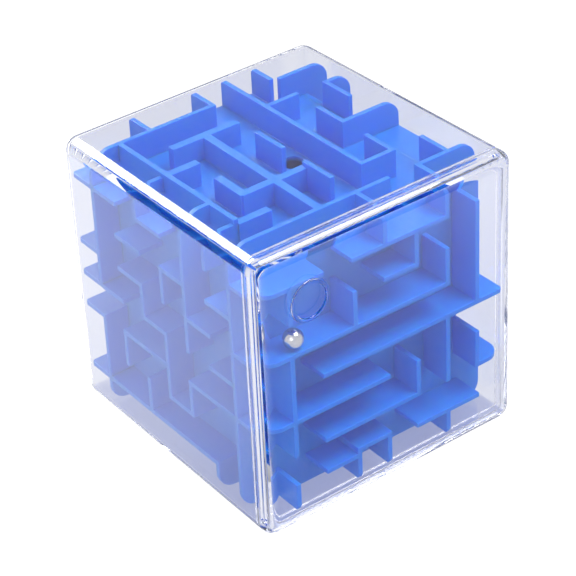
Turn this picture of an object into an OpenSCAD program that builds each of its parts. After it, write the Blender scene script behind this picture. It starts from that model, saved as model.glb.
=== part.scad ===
// Ball maze puzzle: a clear two-part case holding a core of six maze panels and a loose ball.
// Frame: +Z up, +X to the right of the lid, -Y out through the lid; origin under the middle
// of the case at its lowest edge. All sizes are in millimetres.

/* [Case] */
// outside width of the case at the lid
case_width = 60; // [50:0.5:80]
// outside height of the case at the lid
case_height = 60.3; // [50:0.1:80]
// outside depth of the case with its lid on
case_depth = 61.6; // [50:0.1:80]
// wall thickness of case and lid
wall = 1.8; // [1.2:0.1:2.5]
// amount each side leans in from the lid to the back
lean = 0.67; // [0.2:0.01:1.2]
// radius of the long outside edges and of the back corners
edge_r = 3; // [2.9:0.1:4]
// radius of the nearly square inside corners
inner_r = 0.4; // [0.3:0.1:1]
// radius of the lid's front edge
lid_edge_r = 2.8; // [1:0.1:2.8]
// depth of the lid's rim behind its front face
lid_depth = 3.2; // [3.1:0.1:4]
// thickness of the lid's locating tongue
tongue_t = 0.8; // [0.5:0.05:1.0]
// length of the lid's locating tongue
tongue_len = 1; // [0.6:0.1:2]
// running gap round the tongue
tongue_gap = 0.05; // [0.03:0.01:0.15]

/* [Ring on the lid] */
// outside diameter of the raised ring
ring_d = 8.7; // [6:0.1:10]
// width of the raised band
ring_w = 0.9; // [0.4:0.1:1.2]
// height of the raised band
ring_h = 0.3; // [0.2:0.05:0.5]
// ring centre across the lid
ring_x = -18.2; // [-20:0.1:20]
// ring centre above the base
ring_z = 48.6; // [10:0.1:50]

/* [Maze] */
// distance between neighbouring maze planes
pitch = 7.25; // [6:0.05:8]
// thickness of plates and ribs
rib_t = 1; // [0.8:0.05:1.4]
// thickness of the lower ribs on the top panel
low_rib_t = 1.7; // [1:0.1:2]
// how far those ribs stand below the others
low_rib_drop = 1.2; // [0:0.1:2]
// how far part of the front's bottom level rib is stepped up
raised_step = 1.4; // [0:0.1:2]
// height of the lower ends of the front's hanging ribs
hang_z = 3; // [2.4:0.1:4]
// gap between rib tips and the case walls
tip_gap = 0.2; // [0.1:0.05:0.5]
// corner radius of ribs that overhang the core at the sides
lobe_r = 3.5; // [1.5:0.1:5]
// corner radius of the ribs' front corners, seen from the side
front_tab_r = 2.2; // [0.5:0.1:4]
// corner radius of the nearly square rib corners at the back
square_r = 0.8; // [0.4:0.1:2]
// height of the core's middle plane
mid_z = 30.05; // [28:0.05:32]
// offset of the core's middle plane toward the back
mid_y = 0.3; // [-1:0.05:1]
// radius of the ball hole through the top plate
pass_r = 2.3; // [2.1:0.1:2.6]
// ball hole centre across the top plate
pass_x = 3.65; // [3.4:0.05:3.9]
// ball hole centre along the top plate
pass_y = 2.2; // [1.8:0.1:5]

/* [Ball] */
// ball diameter
ball_d = 4; // [3:0.1:5]
// ball centre across the case
ball_x = -20.1; // [-26:0.1:-10]
// gap between the ball and the lid
ball_gap = 0.1; // [0.05:0.05:0.5]

/* [Hidden] */
clear = [0.86, 0.88, 0.95, 0.35];
blue = [0.16, 0.36, 0.86];
steel = [0.78, 0.78, 0.80];
ht = rib_t / 2;
far = 40;
y_front = -case_depth / 2;
y_back = case_depth / 2;
y_part = y_front + lid_depth;
hw = case_width / 2;
cz = case_height / 2;
hh = case_height / 2;
// rib tip limits: half sizes at the front and at the back
tip_y0 = y_front + wall + tip_gap + 0.1;
tip_y1 = y_back - wall - tip_gap - 0.1;
tip_hx = hw - wall - tip_gap;
tip_hz = hh - wall - tip_gap;
// planes 0 and 6 of the lattice are the middles of the core's six plates
core = 3 * pitch;
out = core + ht;
inn = core - ht;
arc_n = 8;

// ---- helpers -------------------------------------------------------------

function px(i) = (i - 3) * pitch;
function py(j) = mid_y + (j - 3) * pitch;
function pz(k) = mid_z + (k - 3) * pitch;
// inward lean of the case walls at depth y
function lean_at(y) = lean * (y - y_front) / case_depth;

// points of a rounded corner round centre c, from angle a to a + 90
function corner(c, r, a) = [for (n = [0 : arc_n])
    [c[0] + r * cos(a + 90 * n / arc_n), c[1] + r * sin(a + 90 * n / arc_n)]];

// rounded four-sided outline: half sizes h0 at v0 and h1 at v1; the four corner radii start
// at the positive corner and go round anticlockwise
function outline(h0, v0, h1, v1, r) = concat(
    corner([h1 - r[0], v1 - r[0]], r[0], 0), corner([r[1] - h1, v1 - r[1]], r[1], 90),
    corner([r[2] - h0, v0 + r[2]], r[2], 180), corner([h0 - r[3], v0 + r[3]], r[3], 270));

module box(x0, x1, y0, y1, z0, z1) {
    translate([x0, y0, z0]) cube([x1 - x0, y1 - y0, z1 - z0]);
}

// straight bar along Y with a rounded outline centred on the case axis
module bar(hx, hz, r, y0, y1) {
    translate([0, y1, cz]) rotate([90, 0, 0]) linear_extrude(y1 - y0)
        polygon(outline(hx, -hz, hx, hz, [r, r, r, r]));
}

// the case's leaning outside form, closed at both ends
module case_form() {
    hull() {
        for (sx = [-1, 1], sz = [-1, 1]) {
            translate([sx * (hw - edge_r), y_front, cz + sz * (hh - edge_r)])
                rotate([-90, 0, 0]) rotate_extrude($fn = 40) lid_corner();
            translate([sx * (hw - lean - edge_r), y_back - edge_r, cz + sz * (hh - lean - edge_r)])
                sphere(edge_r, $fn = 32);
        }
    }
}

// half section of one front corner: a flat disc with a rounded front edge
module lid_corner() {
    polygon(concat([[0, 0]], [for (n = [0 : 5])
        [edge_r - lid_edge_r + lid_edge_r * sin(18 * n), lid_edge_r - lid_edge_r * cos(18 * n)]],
        [[edge_r, lid_edge_r + 0.2], [0, lid_edge_r + 0.2]]));
}

// the case's leaning inside form, from y0 to the inside of the back wall
module hollow_form(y0) {
    r = inner_r;
    inset = wall + r;
    hull() {
        for (sx = [-1, 1], sz = [-1, 1]) {
            translate([sx * (hw - inset - lean_at(y0)), y0, cz + sz * (hh - inset - lean_at(y0))])
                rotate([-90, 0, 0]) cylinder(0.5, r, r, $fn = 32);
            translate([sx * (hw - inset - lean), y_back - inset, cz + sz * (hh - inset - lean)])
                sphere(r, $fn = 32);
        }
    }
}

// space the ribs may fill: three rounded outlines, leaning like the case
module tip_space() {
    intersection() {
        plan_space(square_r);
        rotate([90, 0, 90]) translate([0, 0, -far]) linear_extrude(2 * far)
            polygon(side_outline(tip_hz - lean_at(tip_y0), tip_hz - lean_at(tip_y1)));
        hull() {
            bar(tip_hx, tip_hz, lobe_r, y_front, y_front + 0.1);
            bar(tip_hx - lean, tip_hz - lean, lobe_r, y_back - 0.1, y_back);
        }
    }
}

// rib space seen from above; the front right corner has its own radius
module plan_space(front_right_r) {
    linear_extrude(case_height)
        polygon(outline(tip_hx - lean_at(tip_y0), tip_y0, tip_hx - lean_at(tip_y1), tip_y1,
                        [square_r, square_r, lobe_r, front_right_r]));
}

// rounded outline of the rib space seen from the side (Y, Z): half height h0 in front, h1 behind
function side_outline(h0, h1, rf = front_tab_r, rb = square_r) = concat(
    corner([tip_y1 - rb, cz + h1 - rb], rb, 0), corner([tip_y0 + rf, cz + h0 - rf], rf, 90),
    corner([tip_y0 + rf, cz - h0 + rf], rf, 180), corner([tip_y1 - rb, cz - h1 + rb], rb, 270));

// ---- case ------------------------------------------------------------------

module case_box() {
    color(clear) difference() {
        intersection() {
            case_form();
            box(-far, far, y_part, far, -far, 2 * far);
        }
        hollow_form(y_part - 2);
        bar(hw - wall + tongue_t + tongue_gap, hh - wall + tongue_t + tongue_gap,
            inner_r + tongue_t + tongue_gap, y_part - 1, y_part + tongue_len + tongue_gap);
    }
}

module case_lid() {
    color(clear) {
        difference() {
            union() {
                intersection() {
                    case_form();
                    box(-far, far, -far, y_part, -far, 2 * far);
                }
                bar(hw - wall + tongue_t, hh - wall + tongue_t, inner_r + tongue_t,
                    y_part - 0.5, y_part + tongue_len);
            }
            bar(hw - wall, hh - wall, inner_r, y_front + wall, 0);
        }
        difference() {
            translate([ring_x, y_front + 0.3, ring_z]) rotate([90, 0, 0])
                cylinder(ring_h + 0.3, d = ring_d, $fn = 64);
            translate([ring_x, y_front + 1, ring_z]) rotate([90, 0, 0])
                cylinder(ring_h + 2, d = ring_d - 2 * ring_w, $fn = 64);
        }
    }
}

// ---- maze ribs ---------------------------------------------------------------
// Each list row is [plane, from, to] in lattice steps; -1 and 7 mean out to the case wall.
// flat: ribs in level planes; tall: upright ribs. Ribs stand on the panel's outer face.

front_flat = [[6, -1, 1], [6, 2, 5], [5, 3, 4], [4, -1, 5], [3, 1, 7], [2, -1, 3], [1, 1, 4],
              [0, 1, 2], [0, 4, 6]];
// the level rib at the lower right, whose corner is round
front_flat_round = [[1, 6, 7]];
front_tall = [[3, 6, 7], [5, 6, 7], [0, 5, 6], [4, 5, 6], [2, 4, 5], [5, 4, 5], [6, 3, 6],
              [0, 1, 4], [5, 1, 3], [4, 1, 2], [6, 1, 2], [0, -1, 0], [2, -1, 0], [3, -1, 0],
              [5, -1, 0]];
// the bottom level rib is stepped up between these two upright planes
raised = [2, 3];

back_flat = [[6, -1, 1], [4, -1, 1], [3, -1, 2], [2, -1, 0], [0, -1, 2], [5, 1, 3], [6, 3, 5],
             [4, 3, 5], [5, 5, 6], [3, 4, 7], [2, 1, 3], [1, 2, 4], [2, 5, 6], [1, 5, 7], [0, 3, 5]];
back_tall = [[1, 6, 7], [3, 6, 7], [5, 5, 7], [1, 4, 5], [2, 3, 4], [3, 2, 3], [4, 1, 2],
             [5, 3, 4], [4, 5, 6], [5, 0, 1], [1, 1, 2], [3, -1, 0], [6, 4, 5], [0, 5, 6]];

left_flat = [[6, 3, 4], [6, 5, 6], [5, 4, 5], [5, 2, 3], [5, 0, 1], [4, 4, 5], [4, 1, 2],
             [3, 5, 6], [3, 3, 4], [3, 0, 1], [2, 0, 2], [2, 3, 5], [1, 2, 3], [0, 1, 6]];
left_tall = [[5, 1, 2], [4, 3, 4], [4, 0, 1], [3, 4, 5], [3, 1, 3], [2, 3, 7], [2, 1, 2],
             [1, -1, 0]];
// planes of the lower ribs that run on from the top panel
left_low = [1, 4];

right_flat = [[3, 0, 2], [1, 0, 3], [5, 0, 1], [4, 1, 3], [2, 2, 4], [6, 0, 4], [5, 4, 6],
              [3, 4, 5], [4, 5, 6], [0, 3, 6], [1, 4, 5]];
right_tall = [[5, 6, 7], [1, 1, 2], [2, 4, 5], [3, 2, 3], [3, 5, 6], [4, 3, 5], [5, 1, 3],
              [4, -1, 0], [2, -1, 0], [4, 0, 1]];

// top and bottom panels: across = ribs along X, along = ribs along Y
top_across = [[5, 4, 5], [3, 5, 7], [1, 4, 5]];
top_along = [[3, 3, 4], [3, 1, 2], [4, 1, 7], [5, 3, 4], [5, 1, 2]];
top_low_across = [[5, 1, 3], [4, 0, 1], [2, 1, 3], [1, 0, 1]];
top_low_along = [[1, 2, 3], [2, 0, 5]];

bottom_across = [[1, 0, 2], [2, 3, 5], [3, 1, 3], [4, 4, 6], [5, 1, 2], [5, 3, 4], [1, 4, 5],
                 [4, 0, 1], [2, 0, 1]];
bottom_along = [[1, 3, 4], [2, 1, 2], [3, 3, 5], [4, 0, 2], [5, 2, 4], [2, 4, 6], [5, 5, 6],
                [3, 0, 1]];

// ribs on the front or back panel; both ends run half a rib past the lattice lines
module ribs_y(flat, tall, y0, y1, t = rib_t) {
    for (s = flat) box(px(s[1]) - ht, px(s[2]) + ht, y0, y1, pz(s[0]) - t / 2, pz(s[0]) + t / 2);
    for (s = tall) box(px(s[0]) - t / 2, px(s[0]) + t / 2, y0, y1, pz(s[1]) - ht, pz(s[2]) + ht);
}

// ribs on a side panel; s runs along Y and is kept between the front and back panels
module ribs_x(flat, tall, x0, x1) {
    for (s = flat) box(x0, x1, max(py(s[1]) - ht, py(0) + ht), min(py(s[2]) + ht, py(6) - ht),
                       pz(s[0]) - ht, pz(s[0]) + ht);
    for (s = tall) box(x0, x1, py(s[0]) - ht, py(s[0]) + ht, pz(s[1]) - ht, pz(s[2]) + ht);
}

// ribs on the top or bottom panel, kept between the front, back and side panels
module ribs_z(across, along, z0, z1, t = rib_t, x_right = inn) {
    for (s = across) box(max(px(s[1]) - ht, -inn), s[2] == 7 ? far : min(px(s[2]) + ht, x_right),
                         py(s[0]) - t / 2, py(s[0]) + t / 2, z0, z1);
    for (s = along) box(px(s[0]) - t / 2, px(s[0]) + t / 2, max(py(s[1]) - ht, py(0) + ht),
                        s[2] == 7 ? far : min(py(s[2]) + ht, py(6) - ht), z0, z1);
}

// ---- maze panels ---------------------------------------------------------------

module maze_front() {
    y0 = py(0) - ht;
    color(blue) intersection() {
        union() {
            box(-out, out, y0, y0 + rib_t, pz(0) - ht, pz(6) + ht);
            // the plate runs past the core on the left and below, and above and right in places
            box(-far, -inn, y0, y0 + rib_t, -1, 2 * far);
            box(-far, px(4) + ht, y0, y0 + rib_t, pz(6) + ht, 2 * far);
            box(px(5) - ht, far, y0, y0 + rib_t, pz(6) + ht, 2 * far);
            box(out, far, y0, y0 + rib_t, pz(3) - ht, pz(6) + ht);
            box(out, far, y0, y0 + rib_t, -1, pz(1) + ht);
            box(-far, far, y0, y0 + rib_t, -1, pz(0) - ht);
            ribs_y(front_flat, front_tall, y_front, y0);
            intersection() {
                ribs_y(front_flat_round, [], y_front, y0);
                plan_space(lobe_r);
            }
            raised_rib(y0);
        }
        tip_space();
        // the ribs under the core stop a little short of the case floor
        union() {
            box(-far, far, y0, 0, -far, 2 * far);
            box(-far, far, -far, y0, hang_z, 2 * far);
        }
        front_lobe_trim();
    }
}

// the stepped-up stretch of the bottom level rib and the two ribs that carry it
module raised_rib(y0) {
    z = pz(0) + raised_step;
    box(px(raised[0]) - ht, px(raised[1]) + ht, y_front, y0, z - ht, z + ht);
    for (i = raised) box(px(i) - ht, px(i) + ht, y_front, y0, pz(0) - ht, z + ht);
}

// leaves the small notch between the top lobe on the right and the plate below it
module front_lobe_trim() {
    r = 2.6;
    z = pz(6) + ht;
    difference() {
        box(-far, far, -far, 0, -far, 2 * far);
        difference() {
            box(tip_hx - r, far, -far, 0, z, z + r);
            translate([tip_hx - r, 1, z + r - 0.3]) rotate([90, 0, 0]) cylinder(far, r, r, $fn = 48);
        }
    }
}

module maze_back() {
    y1 = py(6) + ht;
    color(blue) intersection() {
        union() {
            box(-out, out, y1 - rib_t, y1, pz(0) - ht, pz(6) + ht);
            box(-far, -out, y1 - rib_t, y1, pz(3) - ht, 2 * far);
            box(-far, -out, y1 - rib_t, y1, -1, pz(2) + ht);
            box(-far, px(3) + ht, y1 - rib_t, y1, pz(6) + ht, 2 * far);
            box(px(5) + ht + 0.8, far, y1 - rib_t, y1, pz(6) + ht, 2 * far);
            box(out, far, y1 - rib_t, y1, pz(4) - ht, pz(6) + ht);
            box(out, far, y1 - rib_t, y1, -1, pz(2) + ht);
            box(-far, px(2) + ht, y1 - rib_t, y1, -1, pz(0) - ht);
            box(px(4) - ht, far, y1 - rib_t, y1, -1, pz(0) - ht);
            ribs_y(back_flat, back_tall, y1, y_back);
            // the shelf seen through the gap in the left part of the plate
            box(-far, -out, y1 - rib_t, y1, pz(2) - ht, pz(2) + ht);
        }
        tip_space();
    }
}

module maze_left() {
    x1 = -out;
    color(blue) intersection() {
        union() {
            box(x1, x1 + rib_t, py(0) + ht, py(6) - ht, pz(0) - ht, pz(6) + ht);
            // the plate runs on as a rib above and below the core in places
            box(x1, x1 + rib_t, py(1) - ht, py(6) - ht, pz(6) + ht, 2 * far);
            box(x1, x1 + rib_t, py(2) - ht, py(4) + ht, -1, pz(0) - ht);
            ribs_x(left_flat, left_tall, -far, x1);
            for (j = left_low) box(-far, x1, py(j) - ht, py(j) + ht, pz(6) - ht,
                                   cz + tip_hz - low_rib_drop);
        }
        tip_space();
    }
}

module maze_right() {
    x0 = out;
    color(blue) intersection() {
        union() {
            box(x0 - rib_t, x0, py(0) + ht, py(6) - ht, pz(0) - ht, pz(6) + ht);
            box(x0 - rib_t, x0, py(4) - ht, py(5) + ht, pz(6) + ht, 2 * far);
            box(x0 - rib_t, x0, py(0) + ht, py(1) + ht, pz(6) + ht, 2 * far);
            box(x0 - rib_t, x0, py(1) - ht, py(2) + ht, -1, pz(0) - ht);
            box(x0 - rib_t, x0, py(4) - ht, py(5) + ht, -1, pz(0) - ht);
            ribs_x(right_flat, right_tall, x0, far);
            box(x0 - rib_t, x0, py(5) - ht, py(5) + ht, pz(6), 2 * far);
        }
        tip_space();
        // kept clear of the top panel's rib that crosses above
        difference() {
            box(0, far, -far, far, -far, 2 * far);
            box(inn, far, py(3) - ht, py(3) + ht, pz(6) + ht, 2 * far);
        }
    }
}

module maze_top() {
    z0 = pz(6) + ht;
    color(blue) intersection() {
        union() {
            difference() {
                box(-inn, inn, py(0) + ht, py(6) - ht, z0 - rib_t, z0);
                translate([pass_x, pass_y, z0 - 2 * rib_t]) cylinder(3 * rib_t, r = pass_r, $fn = 48);
            }
            ribs_z(top_across, top_along, z0, 2 * far);
            ribs_z(top_low_across, top_low_along, z0, cz + tip_hz - low_rib_drop, low_rib_t);
        }
        tip_space();
    }
}

module maze_bottom() {
    z1 = pz(0) - ht;
    color(blue) intersection() {
        union() {
            box(-inn, inn, py(0) + ht, py(6) - ht, z1, z1 + rib_t);
            ribs_z(bottom_across, bottom_along, -1, z1);
        }
        tip_space();
    }
}

// ---- ball --------------------------------------------------------------------------

module ball() {
    color(steel) translate([ball_x, y_front + wall + ball_gap + ball_d / 2, pz(4) + ht + 0.02 + ball_d / 2])
        sphere(d = ball_d, $fn = 96);
}

case_box();
case_lid();
maze_front();
maze_back();
maze_left();
maze_right();
maze_top();
maze_bottom();
ball();
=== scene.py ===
import math

import bmesh
import bpy
from mathutils import Matrix, Vector


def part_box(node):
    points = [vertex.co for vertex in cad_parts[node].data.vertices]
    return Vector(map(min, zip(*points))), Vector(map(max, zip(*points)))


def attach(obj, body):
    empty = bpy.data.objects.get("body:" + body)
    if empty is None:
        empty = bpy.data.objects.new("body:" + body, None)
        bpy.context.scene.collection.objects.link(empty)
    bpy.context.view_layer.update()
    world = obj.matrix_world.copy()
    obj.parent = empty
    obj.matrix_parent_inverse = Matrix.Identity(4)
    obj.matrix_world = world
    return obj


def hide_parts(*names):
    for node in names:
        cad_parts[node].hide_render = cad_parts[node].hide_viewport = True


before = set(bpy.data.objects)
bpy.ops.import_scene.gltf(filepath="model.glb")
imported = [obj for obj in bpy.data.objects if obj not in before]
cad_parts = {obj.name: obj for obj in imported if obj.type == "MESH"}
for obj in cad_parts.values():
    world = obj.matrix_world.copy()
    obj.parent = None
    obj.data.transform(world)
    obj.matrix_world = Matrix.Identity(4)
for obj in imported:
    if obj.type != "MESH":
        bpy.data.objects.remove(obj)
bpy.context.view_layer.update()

MM = 0.001
# the case: its box is read from the frame, the rest repeats the CAD's own sizes
box_low, box_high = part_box("case_box")
lid_low, lid_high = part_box("case_lid")
HALF_W = lid_high.x
HALF_H = lid_high.z / 2
Y_RING = lid_low.y
Y_PART = box_low.y
Y_BACK = box_high.y
LID_RIM = 3.2 * MM
Y_FRONT = Y_PART - LID_RIM
DEPTH = Y_BACK - Y_FRONT
LEAN = 0.67 * MM
WALL = 1.8 * MM
EDGE_R = 3 * MM
LID_EDGE_R = 2.8 * MM
INNER_R = 0.4 * MM
TONGUE = 0.8 * MM
TONGUE_LEN = 1 * MM
TONGUE_GAP = 0.05 * MM
# the raised ring on the lid; its root is sunk into the lid's face
RING_X = -18.2 * MM
RING_Z = 48.6 * MM
RING_R = 4.35 * MM
RING_W = 0.9 * MM
RING_ROOT = 0.4 * MM
RING_TURNS = 96
RING_ARC = 10
# softened edges: the case's cut edges and the maze panels' edges
CASE_BEVEL = 0.06 * MM
PANEL_BEVEL = 0.14 * MM
BEVEL_STEPS = 2
SHARP = math.radians(40)
NORMAL_WEIGHT = 80
# steps in a quarter turn of a rounded edge
CORNER_STEPS = 12
BACK_STEPS = 10
LID_STEPS = 8
# points closer than these are one point: in the clear shells, and in a panel's triangles
SHELL_WELD = 2e-6
PANEL_WELD = 5e-6
# clear plastic and blue plastic
CLEAR_TINT = (0.965, 0.968, 0.99, 1)
CLEAR_PASSING = (0.96, 0.965, 0.98, 1)
CLEAR_IOR = 1.59
BLUE_DEEP = (0.001, 0.180, 0.70, 1)
BLUE_LIGHT = (0.002, 0.208, 0.74, 1)
BLUE_IOR = 1.55
STEEL_DARK = (0.60, 0.59, 0.58, 1)
STEEL_LIGHT = (0.72, 0.71, 0.70, 1)
# after this many bounces a light path goes straight on through the clear walls
TRAPPED_DEPTH = 12
MAX_BOUNCES = 40
# the floor: half its size, the gap under the case, and the share of plain matte white in it
FLOOR_SIZE = 3.0
FLOOR_GAP = 0.00002
FLOOR_WHITE = (0.8, 0.8, 0.82, 1)
FLOOR_MATTE = 0.12
# painted shade in what the floor shines back: least along the line y = -SHADE_Y, and fully SHADE_HALF
# away from it
SHADE_Y = 50 * MM
SHADE_HALF = 70 * MM
SHADE_LOW = 0.1
SHADE_HIGH = 1.4
# painted pool of light in what the floor shines back: beyond this distance from the case it shines
# back dimly
TABLE_LIT = 130 * MM
TABLE_FADE = 25 * MM
TABLE_DIM = 0.12
# camera: where it stands, which way it looks and how it is tipped
CAMERA_AT = (-0.226413, -0.310927, 0.282817)
CAMERA_AZIMUTH = -36.01
CAMERA_ELEVATION = 33.54
CAMERA_ROLL = -2.88
CAMERA_LENS = 150.14
CAMERA_SENSOR = 36
CAMERA_CLIP = 0.01


# ---- mesh helpers ---------------------------------------------------------

def new_object(name, bm):
    mesh = bpy.data.meshes.new(name)
    bm.to_mesh(mesh)
    bm.free()
    obj = bpy.data.objects.new(name, mesh)
    bpy.context.scene.collection.objects.link(obj)
    return obj


def smooth(obj):
    for p in obj.data.polygons:
        p.use_smooth = True


def apply_modifiers(obj):
    deps = bpy.context.evaluated_depsgraph_get()
    mesh = bpy.data.meshes.new_from_object(obj.evaluated_get(deps))
    obj.modifiers.clear()
    obj.data = mesh


def quarter(steps):
    """Angles from just after 0 to 90 degrees."""
    return [math.radians(90 * n / steps) for n in range(1, steps + 1)]


def outline(hx, hz, r):
    """Rounded rectangle in X and Z, centred on the case axis."""
    r = max(r, 1e-6)
    points = []
    for n, (sx, sz) in enumerate(((1, 1), (-1, 1), (-1, -1), (1, -1))):
        for s in range(CORNER_STEPS + 1):
            a = math.radians(90 * n + 90 * s / CORNER_STEPS)
            points.append((sx * (hx - r) + r * math.cos(a), sz * (hz - r) + r * math.sin(a)))
    return points


def lean_at(y):
    """How far the case's sides lean in at depth y."""
    return LEAN * (y - Y_FRONT) / DEPTH


def ring(y, inset, r):
    """One loop of points round the case at depth y, inset from its outside."""
    d = lean_at(y) + inset
    return [(x, y, z + HALF_H) for x, z in outline(HALF_W - d, HALF_H - d, r)]


def loft(name, rings):
    """Closed skin through a row of loops, capped at its first and its last one."""
    bm = bmesh.new()
    loops = [[bm.verts.new(p) for p in points] for points in rings]
    count = len(loops[0])
    for a, b in zip(loops, loops[1:]):
        for n in range(count):
            m = (n + 1) % count
            bm.faces.new((a[n], a[m], b[m], b[n]))
    bm.faces.new(list(reversed(loops[0])))
    bm.faces.new(loops[-1])
    bmesh.ops.remove_doubles(bm, verts=bm.verts, dist=SHELL_WELD)
    bmesh.ops.recalc_face_normals(bm, faces=bm.faces)
    return new_object(name, bm)


def soften(obj, width):
    """Round the sharp edges and keep the flat faces flat in the shading."""
    bevel = obj.modifiers.new("soft_edges", "BEVEL")
    bevel.width = width
    bevel.segments = BEVEL_STEPS
    bevel.limit_method = "ANGLE"
    bevel.angle_limit = SHARP
    apply_modifiers(obj)
    smooth(obj)
    normals = obj.modifiers.new("flat_faces", "WEIGHTED_NORMAL")
    normals.weight = NORMAL_WEIGHT
    apply_modifiers(obj)


# ---- case -------------------------------------------------------------------

def back_corner(y, inset, r):
    """Loops that round a form of corner radius r off toward its flat back at depth y."""
    return [ring(y - r, inset, r)] + [
        ring(y - r + r * math.sin(a), inset + r * (1 - math.cos(a)), r * math.cos(a))
        for a in quarter(BACK_STEPS)]


def make_case():
    """The five-walled shell: its outside, then its inside with the recess for the tongue."""
    outside = [ring(Y_PART, 0, EDGE_R)] + back_corner(Y_BACK, 0, EDGE_R)
    recess = WALL - TONGUE - TONGUE_GAP
    recess_r = INNER_R + TONGUE + TONGUE_GAP
    recess_end = Y_PART + TONGUE_LEN + TONGUE_GAP
    inside = [ring(Y_PART, recess, recess_r), ring(recess_end, recess, recess_r),
              ring(recess_end, WALL, INNER_R)] + back_corner(Y_BACK - WALL, WALL, INNER_R)
    obj = loft("case_shell", list(reversed(outside)) + inside)
    soften(obj, CASE_BEVEL)
    return obj


def make_lid():
    """The lid: rounded front edge, tongue behind the rim, and the raised ring."""
    outside = [ring(Y_PART, 0, EDGE_R)]
    for a in [0] + quarter(LID_STEPS):
        drop = LID_EDGE_R * (1 - math.cos(a))
        outside.insert(0, ring(Y_FRONT + LID_EDGE_R * (1 - math.sin(a)), drop, EDGE_R - drop))
    tongue_r = INNER_R + TONGUE
    inside = [ring(Y_PART, WALL - TONGUE, tongue_r),
              ring(Y_PART + TONGUE_LEN, WALL - TONGUE, tongue_r),
              ring(Y_PART + TONGUE_LEN, WALL, INNER_R),
              ring(Y_FRONT + WALL, WALL, INNER_R)]
    obj = loft("lid_shell", outside + inside)
    band = make_ring_band()
    union = obj.modifiers.new("ring", "BOOLEAN")
    union.operation = "UNION"
    union.solver = "EXACT"
    union.object = band
    apply_modifiers(obj)
    bpy.data.objects.remove(band)
    soften(obj, CASE_BEVEL)
    return obj


def make_ring_band():
    """Raised round band with a half-round top, sunk a little into the lid."""
    bm = bmesh.new()
    top = Y_FRONT - Y_RING
    half = RING_W / 2
    arc = [math.pi * n / RING_ARC for n in range(RING_ARC + 1)]
    profile = [(-half, -RING_ROOT), (half, -RING_ROOT)]
    profile += [(half * math.cos(a), top * math.sin(a)) for a in arc]
    mid = RING_R - half
    loops = []
    for t in range(RING_TURNS):
        a = 2 * math.pi * t / RING_TURNS
        loops.append([bm.verts.new((RING_X + (mid + u) * math.cos(a), Y_FRONT - v,
                                    RING_Z + (mid + u) * math.sin(a))) for u, v in profile])
    count = len(profile)
    for t in range(RING_TURNS):
        a, b = loops[t], loops[(t + 1) % RING_TURNS]
        for n in range(count):
            m = (n + 1) % count
            bm.faces.new((a[n], a[m], b[m], b[n]))
    bmesh.ops.recalc_face_normals(bm, faces=bm.faces)
    return new_object("ring_band", bm)


# ---- maze panels --------------------------------------------------------------

def make_panel(node):
    """A copy of one maze panel with its edges softened as moulded plastic's are."""
    bm = bmesh.new()
    bm.from_mesh(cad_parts[node].data)
    bmesh.ops.remove_doubles(bm, verts=bm.verts, dist=PANEL_WELD)
    bmesh.ops.dissolve_limit(bm, angle_limit=math.radians(1), verts=bm.verts, edges=bm.edges)
    obj = new_object(node + "_moulded", bm)
    soften(obj, PANEL_BEVEL)
    return obj


# ---- materials ------------------------------------------------------------------

def new_material(name):
    mat = bpy.data.materials.new(name)
    mat.use_nodes = True
    nt = mat.node_tree
    nt.nodes.clear()
    out = nt.nodes.new("ShaderNodeOutputMaterial")
    return mat, nt, out


def feed(nt, socket, source):
    """Set a socket to a fixed value, or link it to another node's output."""
    if isinstance(source, bpy.types.NodeSocket):
        nt.links.new(source, socket)
    else:
        socket.default_value = source


def math_node(nt, operation, first, second=0.0):
    """One Math node; returns its output socket."""
    node = nt.nodes.new("ShaderNodeMath")
    node.operation = operation
    feed(nt, node.inputs[0], first)
    feed(nt, node.inputs[1], second)
    return node.outputs[0]


def map_range(nt, value, low, high, first, last, kind="LINEAR"):
    """Change from first to last as value goes from low to high; returns its socket."""
    node = nt.nodes.new("ShaderNodeMapRange")
    node.interpolation_type = kind
    node.inputs["From Min"].default_value = low
    node.inputs["From Max"].default_value = high
    node.inputs["To Min"].default_value = first
    node.inputs["To Max"].default_value = last
    nt.links.new(value, node.inputs["Value"])
    return node.outputs["Result"]


def noise_node(nt, scale, detail):
    """Noise over the piece's own coordinates; returns its strength."""
    coords = nt.nodes.new("ShaderNodeTexCoord")
    noise = nt.nodes.new("ShaderNodeTexNoise")
    noise.inputs["Scale"].default_value = scale
    noise.inputs["Detail"].default_value = detail
    nt.links.new(coords.outputs["Object"], noise.inputs["Vector"])
    return noise.outputs["Fac"]


def colour_ramp(nt, value, low, first, high, last):
    """Blend of two colours, first at low and last at high; returns its socket."""
    ramp = nt.nodes.new("ShaderNodeValToRGB")
    for stop, place, colour in zip(ramp.color_ramp.elements, (low, high), (first, last)):
        stop.position = place
        stop.color = colour
    nt.links.new(value, ramp.inputs["Fac"])
    return ramp.outputs["Color"]


def by_ray(nt, lighting, mirrored, through, seen):
    """Brightness of a stage surface: as it lights, shines back, shows through, and is seen."""
    path = nt.nodes.new("ShaderNodeLightPath")
    value = lighting
    for flag, level in (("Is Glossy Ray", mirrored), ("Is Transmission Ray", through),
                        ("Is Camera Ray", seen)):
        mix = nt.nodes.new("ShaderNodeMix")
        mix.data_type = "RGBA"
        nt.links.new(path.outputs[flag], mix.inputs["Factor"])
        feed(nt, mix.inputs[6], value)
        feed(nt, mix.inputs[7], level)
        value = mix.outputs[2]
    return value


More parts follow.
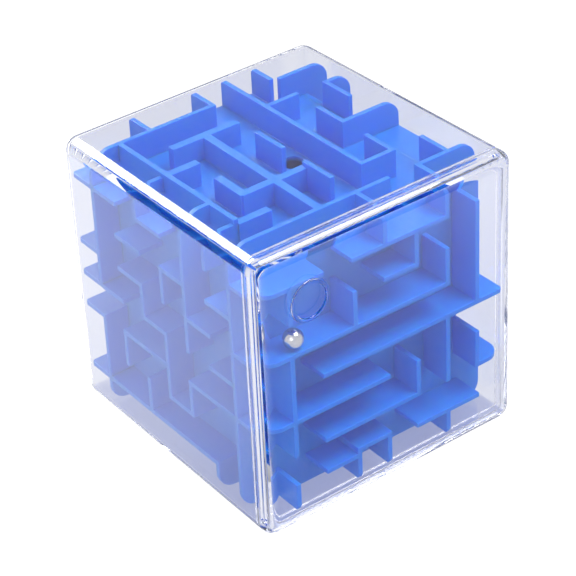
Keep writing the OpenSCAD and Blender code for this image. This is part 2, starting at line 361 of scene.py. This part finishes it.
def clear_plastic(name, scratches):
    """Clear polystyrene: polished, faintly scratched, passing lamp light to what it holds."""
    mat, nt, out = new_material(name)
    shader = nt.nodes.new("ShaderNodeBsdfPrincipled")
    shader.inputs["Base Color"].default_value = CLEAR_TINT
    shader.inputs["Transmission Weight"].default_value = 1
    shader.inputs["IOR"].default_value = CLEAR_IOR
    marks = noise_node(nt, scratches, 4)
    nt.links.new(map_range(nt, marks, 0.35, 0.75, 0, 0.03), shader.inputs["Roughness"])
    passing = nt.nodes.new("ShaderNodeBsdfTransparent")
    passing.inputs["Color"].default_value = CLEAR_PASSING
    path = nt.nodes.new("ShaderNodeLightPath")
    trapped = math_node(nt, "GREATER_THAN", path.outputs["Ray Depth"], TRAPPED_DEPTH)
    lit = math_node(nt, "MAXIMUM", path.outputs["Is Shadow Ray"], path.outputs["Is Diffuse Ray"])
    mix = nt.nodes.new("ShaderNodeMixShader")
    nt.links.new(math_node(nt, "MAXIMUM", lit, trapped), mix.inputs[0])
    nt.links.new(shader.outputs[0], mix.inputs[1])
    nt.links.new(passing.outputs[0], mix.inputs[2])
    nt.links.new(mix.outputs[0], out.inputs["Surface"])
    return mat


def blue_plastic():
    """Moulded blue plastic: a little light passes into it, with faint flow marks."""
    mat, nt, out = new_material("maze_blue")
    shader = nt.nodes.new("ShaderNodeBsdfPrincipled")
    flow = noise_node(nt, 60, 3)
    tint = colour_ramp(nt, flow, 0.3, BLUE_DEEP, 0.7, BLUE_LIGHT)
    nt.links.new(tint, shader.inputs["Base Color"])
    shader.inputs["Subsurface Weight"].default_value = 0.8
    shader.inputs["Subsurface Radius"].default_value = (0.3, 0.5, 2.2)
    shader.inputs["Subsurface Scale"].default_value = 1 * MM
    shader.inputs["IOR"].default_value = BLUE_IOR
    shader.inputs["Specular IOR Level"].default_value = 0.15
    grain = noise_node(nt, 1500, 2)
    nt.links.new(map_range(nt, grain, 0, 1, 0.3, 0.45), shader.inputs["Roughness"])
    bump = nt.nodes.new("ShaderNodeBump")
    bump.inputs["Strength"].default_value = 0.15
    bump.inputs["Distance"].default_value = 0.03 * MM
    nt.links.new(grain, bump.inputs["Height"])
    nt.links.new(bump.outputs["Normal"], shader.inputs["Normal"])
    nt.links.new(shader.outputs[0], out.inputs["Surface"])
    return mat


def ball_steel():
    """Polished bearing steel with faint handling marks."""
    mat, nt, out = new_material("ball_steel")
    shader = nt.nodes.new("ShaderNodeBsdfPrincipled")
    shader.inputs["Metallic"].default_value = 1
    marks = noise_node(nt, 900, 2)
    tint = colour_ramp(nt, marks, 0, STEEL_DARK, 1, STEEL_LIGHT)
    nt.links.new(map_range(nt, marks, 0, 1, 0.04, 0.12), shader.inputs["Roughness"])
    nt.links.new(tint, shader.inputs["Base Color"])
    nt.links.new(shader.outputs[0], out.inputs["Surface"])
    return mat


def dress(obj, mat):
    obj.data.materials.clear()
    obj.data.materials.append(mat)


# ---- studio -----------------------------------------------------------------------

def make_floor():
    """Pale table under the case, tipped with the case's leaning underside."""
    bm = bmesh.new()
    tilt = LEAN / DEPTH
    corners = [(-1, -1), (1, -1), (1, 1), (-1, 1)]
    verts = [bm.verts.new((x * FLOOR_SIZE, y * FLOOR_SIZE,
                           (y * FLOOR_SIZE - Y_FRONT) * tilt - FLOOR_GAP)) for x, y in corners]
    bm.faces.new(verts)
    floor = new_object("floor", bm)
    mat, nt, out = new_material("floor_white")
    glow = nt.nodes.new("ShaderNodeEmission")
    matte = nt.nodes.new("ShaderNodeBsdfDiffuse")
    matte.inputs["Color"].default_value = FLOOR_WHITE
    blend = nt.nodes.new("ShaderNodeMixShader")
    blend.inputs[0].default_value = FLOOR_MATTE
    coords = nt.nodes.new("ShaderNodeTexCoord")
    split = nt.nodes.new("ShaderNodeSeparateXYZ")
    nt.links.new(coords.outputs["Object"], split.inputs[0])
    # painted shade: what the floor shines back is darkest along y = -SHADE_Y, close to the case
    from_shade = math_node(nt, "ABSOLUTE", math_node(nt, "ADD", split.outputs["Y"], SHADE_Y))
    painted_reflection_shade = map_range(nt, from_shade, 0, SHADE_HALF, SHADE_LOW, SHADE_HIGH, "SMOOTHSTEP")
    # painted pool of light: what the floor shines back dims beyond TABLE_LIT from the case
    length = nt.nodes.new("ShaderNodeVectorMath")
    length.operation = "LENGTH"
    nt.links.new(coords.outputs["Object"], length.inputs[0])
    painted_light_pool = map_range(nt, length.outputs["Value"], TABLE_LIT, TABLE_LIT + TABLE_FADE,
                     1, TABLE_DIM, "SMOOTHSTEP")
    # painted shadow: under the clear case the table, seen through the plastic, is given a blue-tinted
    # shade colour
    across = math_node(nt, "ABSOLUTE", split.outputs["X"])
    deep = math_node(nt, "ABSOLUTE", split.outputs["Y"])
    outward = math_node(nt, "MAXIMUM", across, deep)
    under = nt.nodes.new("ShaderNodeMix")
    under.data_type = "RGBA"
    under.inputs[6].default_value = (0.38, 0.42, 0.66, 1)
    under.inputs[7].default_value = (0.88, 0.89, 0.94, 1)
    nt.links.new(map_range(nt, outward, HALF_W - EDGE_R, HALF_W + EDGE_R, 0, 1, "SMOOTHSTEP"),
                 under.inputs["Factor"])
    level = by_ray(nt, lighting=(0.50, 0.52, 0.58, 1), mirrored=math_node(nt, "MULTIPLY", painted_reflection_shade, painted_light_pool),
                   through=under.outputs[2], seen=(1.12, 1.12, 1.12, 1))
    nt.links.new(level, glow.inputs["Color"])
    nt.links.new(glow.outputs[0], blend.inputs[1])
    nt.links.new(matte.outputs[0], blend.inputs[2])
    nt.links.new(blend.outputs[0], out.inputs["Surface"])
    dress(floor, mat)


def make_world():
    """White surround; what shines back from it is kept dim, so the plastic keeps its colour."""
    world = bpy.data.worlds.new("studio")
    world.use_nodes = True
    nt = world.node_tree
    nt.nodes.clear()
    out = nt.nodes.new("ShaderNodeOutputWorld")
    surround = nt.nodes.new("ShaderNodeBackground")
    level = by_ray(nt, lighting=(0.74, 0.77, 0.86, 1), mirrored=(0.10, 0.11, 0.14, 1),
                   through=(0.88, 0.89, 0.94, 1), seen=(1.1, 1.1, 1.1, 1))
    nt.links.new(level, surround.inputs["Color"])
    nt.links.new(surround.outputs[0], out.inputs["Surface"])
    bpy.context.scene.world = world


def softbox(name, direction, distance, width, height, radiance, along=(1, 0, 0)):
    """A lamp of even brightness that faces the case; returns it."""
    data = bpy.data.lights.new(name, "AREA")
    data.shape = "RECTANGLE"
    data.size = width
    data.size_y = height
    data.energy = radiance * math.pi * width * height
    obj = bpy.data.objects.new(name, data)
    bpy.context.scene.collection.objects.link(obj)
    z = Vector(direction).normalized()
    y = z.cross(Vector(along)).normalized()
    turn = Matrix((y.cross(z), y, z)).transposed().to_4x4()
    obj.matrix_world = Matrix.Translation(Vector((0, 0, HALF_H)) + z * distance) @ turn
    return obj


def make_lights():
    softbox("overhead", (0.3, -0.3, 0.9), distance=0.9, width=0.5, height=0.5, radiance=9)
    # the lamp behind is there only for the bright band it leaves along the top left edge
    behind = softbox("behind", (-0.20, 0.67, 0.66), distance=0.9, width=0.62, height=0.5,
                     radiance=18, along=(0.57, 0, 0.25))
    behind.visible_diffuse = False
    behind.visible_transmission = False
    # the lamp on the left lights, but is not mirrored
    fill = softbox("fill_left", (-0.9, -0.5, 0.5), distance=1.0, width=0.6, height=0.6,
                   radiance=1.5)
    fill.visible_glossy = False


def make_camera():
    az = math.radians(CAMERA_AZIMUTH)
    el = math.radians(CAMERA_ELEVATION)
    roll = math.radians(CAMERA_ROLL)
    back = Vector((math.sin(az) * math.cos(el), -math.cos(az) * math.cos(el), math.sin(el)))
    right = (-back).cross(Vector((0, 0, 1))).normalized()
    up = right.cross(-back)
    rolled_right = math.cos(roll) * right + math.sin(roll) * up
    rolled_up = -math.sin(roll) * right + math.cos(roll) * up
    data = bpy.data.cameras.new("camera")
    data.sensor_width = CAMERA_SENSOR
    data.lens = CAMERA_LENS
    data.clip_start = CAMERA_CLIP
    cam = bpy.data.objects.new("camera", data)
    bpy.context.scene.collection.objects.link(cam)
    turn = Matrix((rolled_right, rolled_up, back)).transposed().to_4x4()
    cam.matrix_world = Matrix.Translation(Vector(CAMERA_AT)) @ turn
    bpy.context.scene.camera = cam


# ---- build --------------------------------------------------------------------------

case = make_case()
dress(case, clear_plastic("clear_case", 35))
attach(case, "case")
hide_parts("case_box")

lid = make_lid()
dress(lid, clear_plastic("clear_lid", 45))
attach(lid, "lid")
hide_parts("case_lid")

blue = blue_plastic()
for panel in ("maze_front", "maze_back", "maze_left", "maze_right", "maze_top", "maze_bottom"):
    moulded = make_panel(panel)
    dress(moulded, blue)
    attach(moulded, "case")
    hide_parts(panel)

dress(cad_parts["ball"], ball_steel())

make_floor()
make_world()
make_lights()
make_camera()

scene = bpy.context.scene
scene.view_settings.view_transform = "Standard"
scene.cycles.max_bounces = MAX_BOUNCES
scene.cycles.transmission_bounces = MAX_BOUNCES
scene.cycles.transparent_max_bounces = MAX_BOUNCES
scene.cycles.glossy_bounces = MAX_BOUNCES
scene.cycles.diffuse_bounces = 4
scene.cycles.use_denoising = True
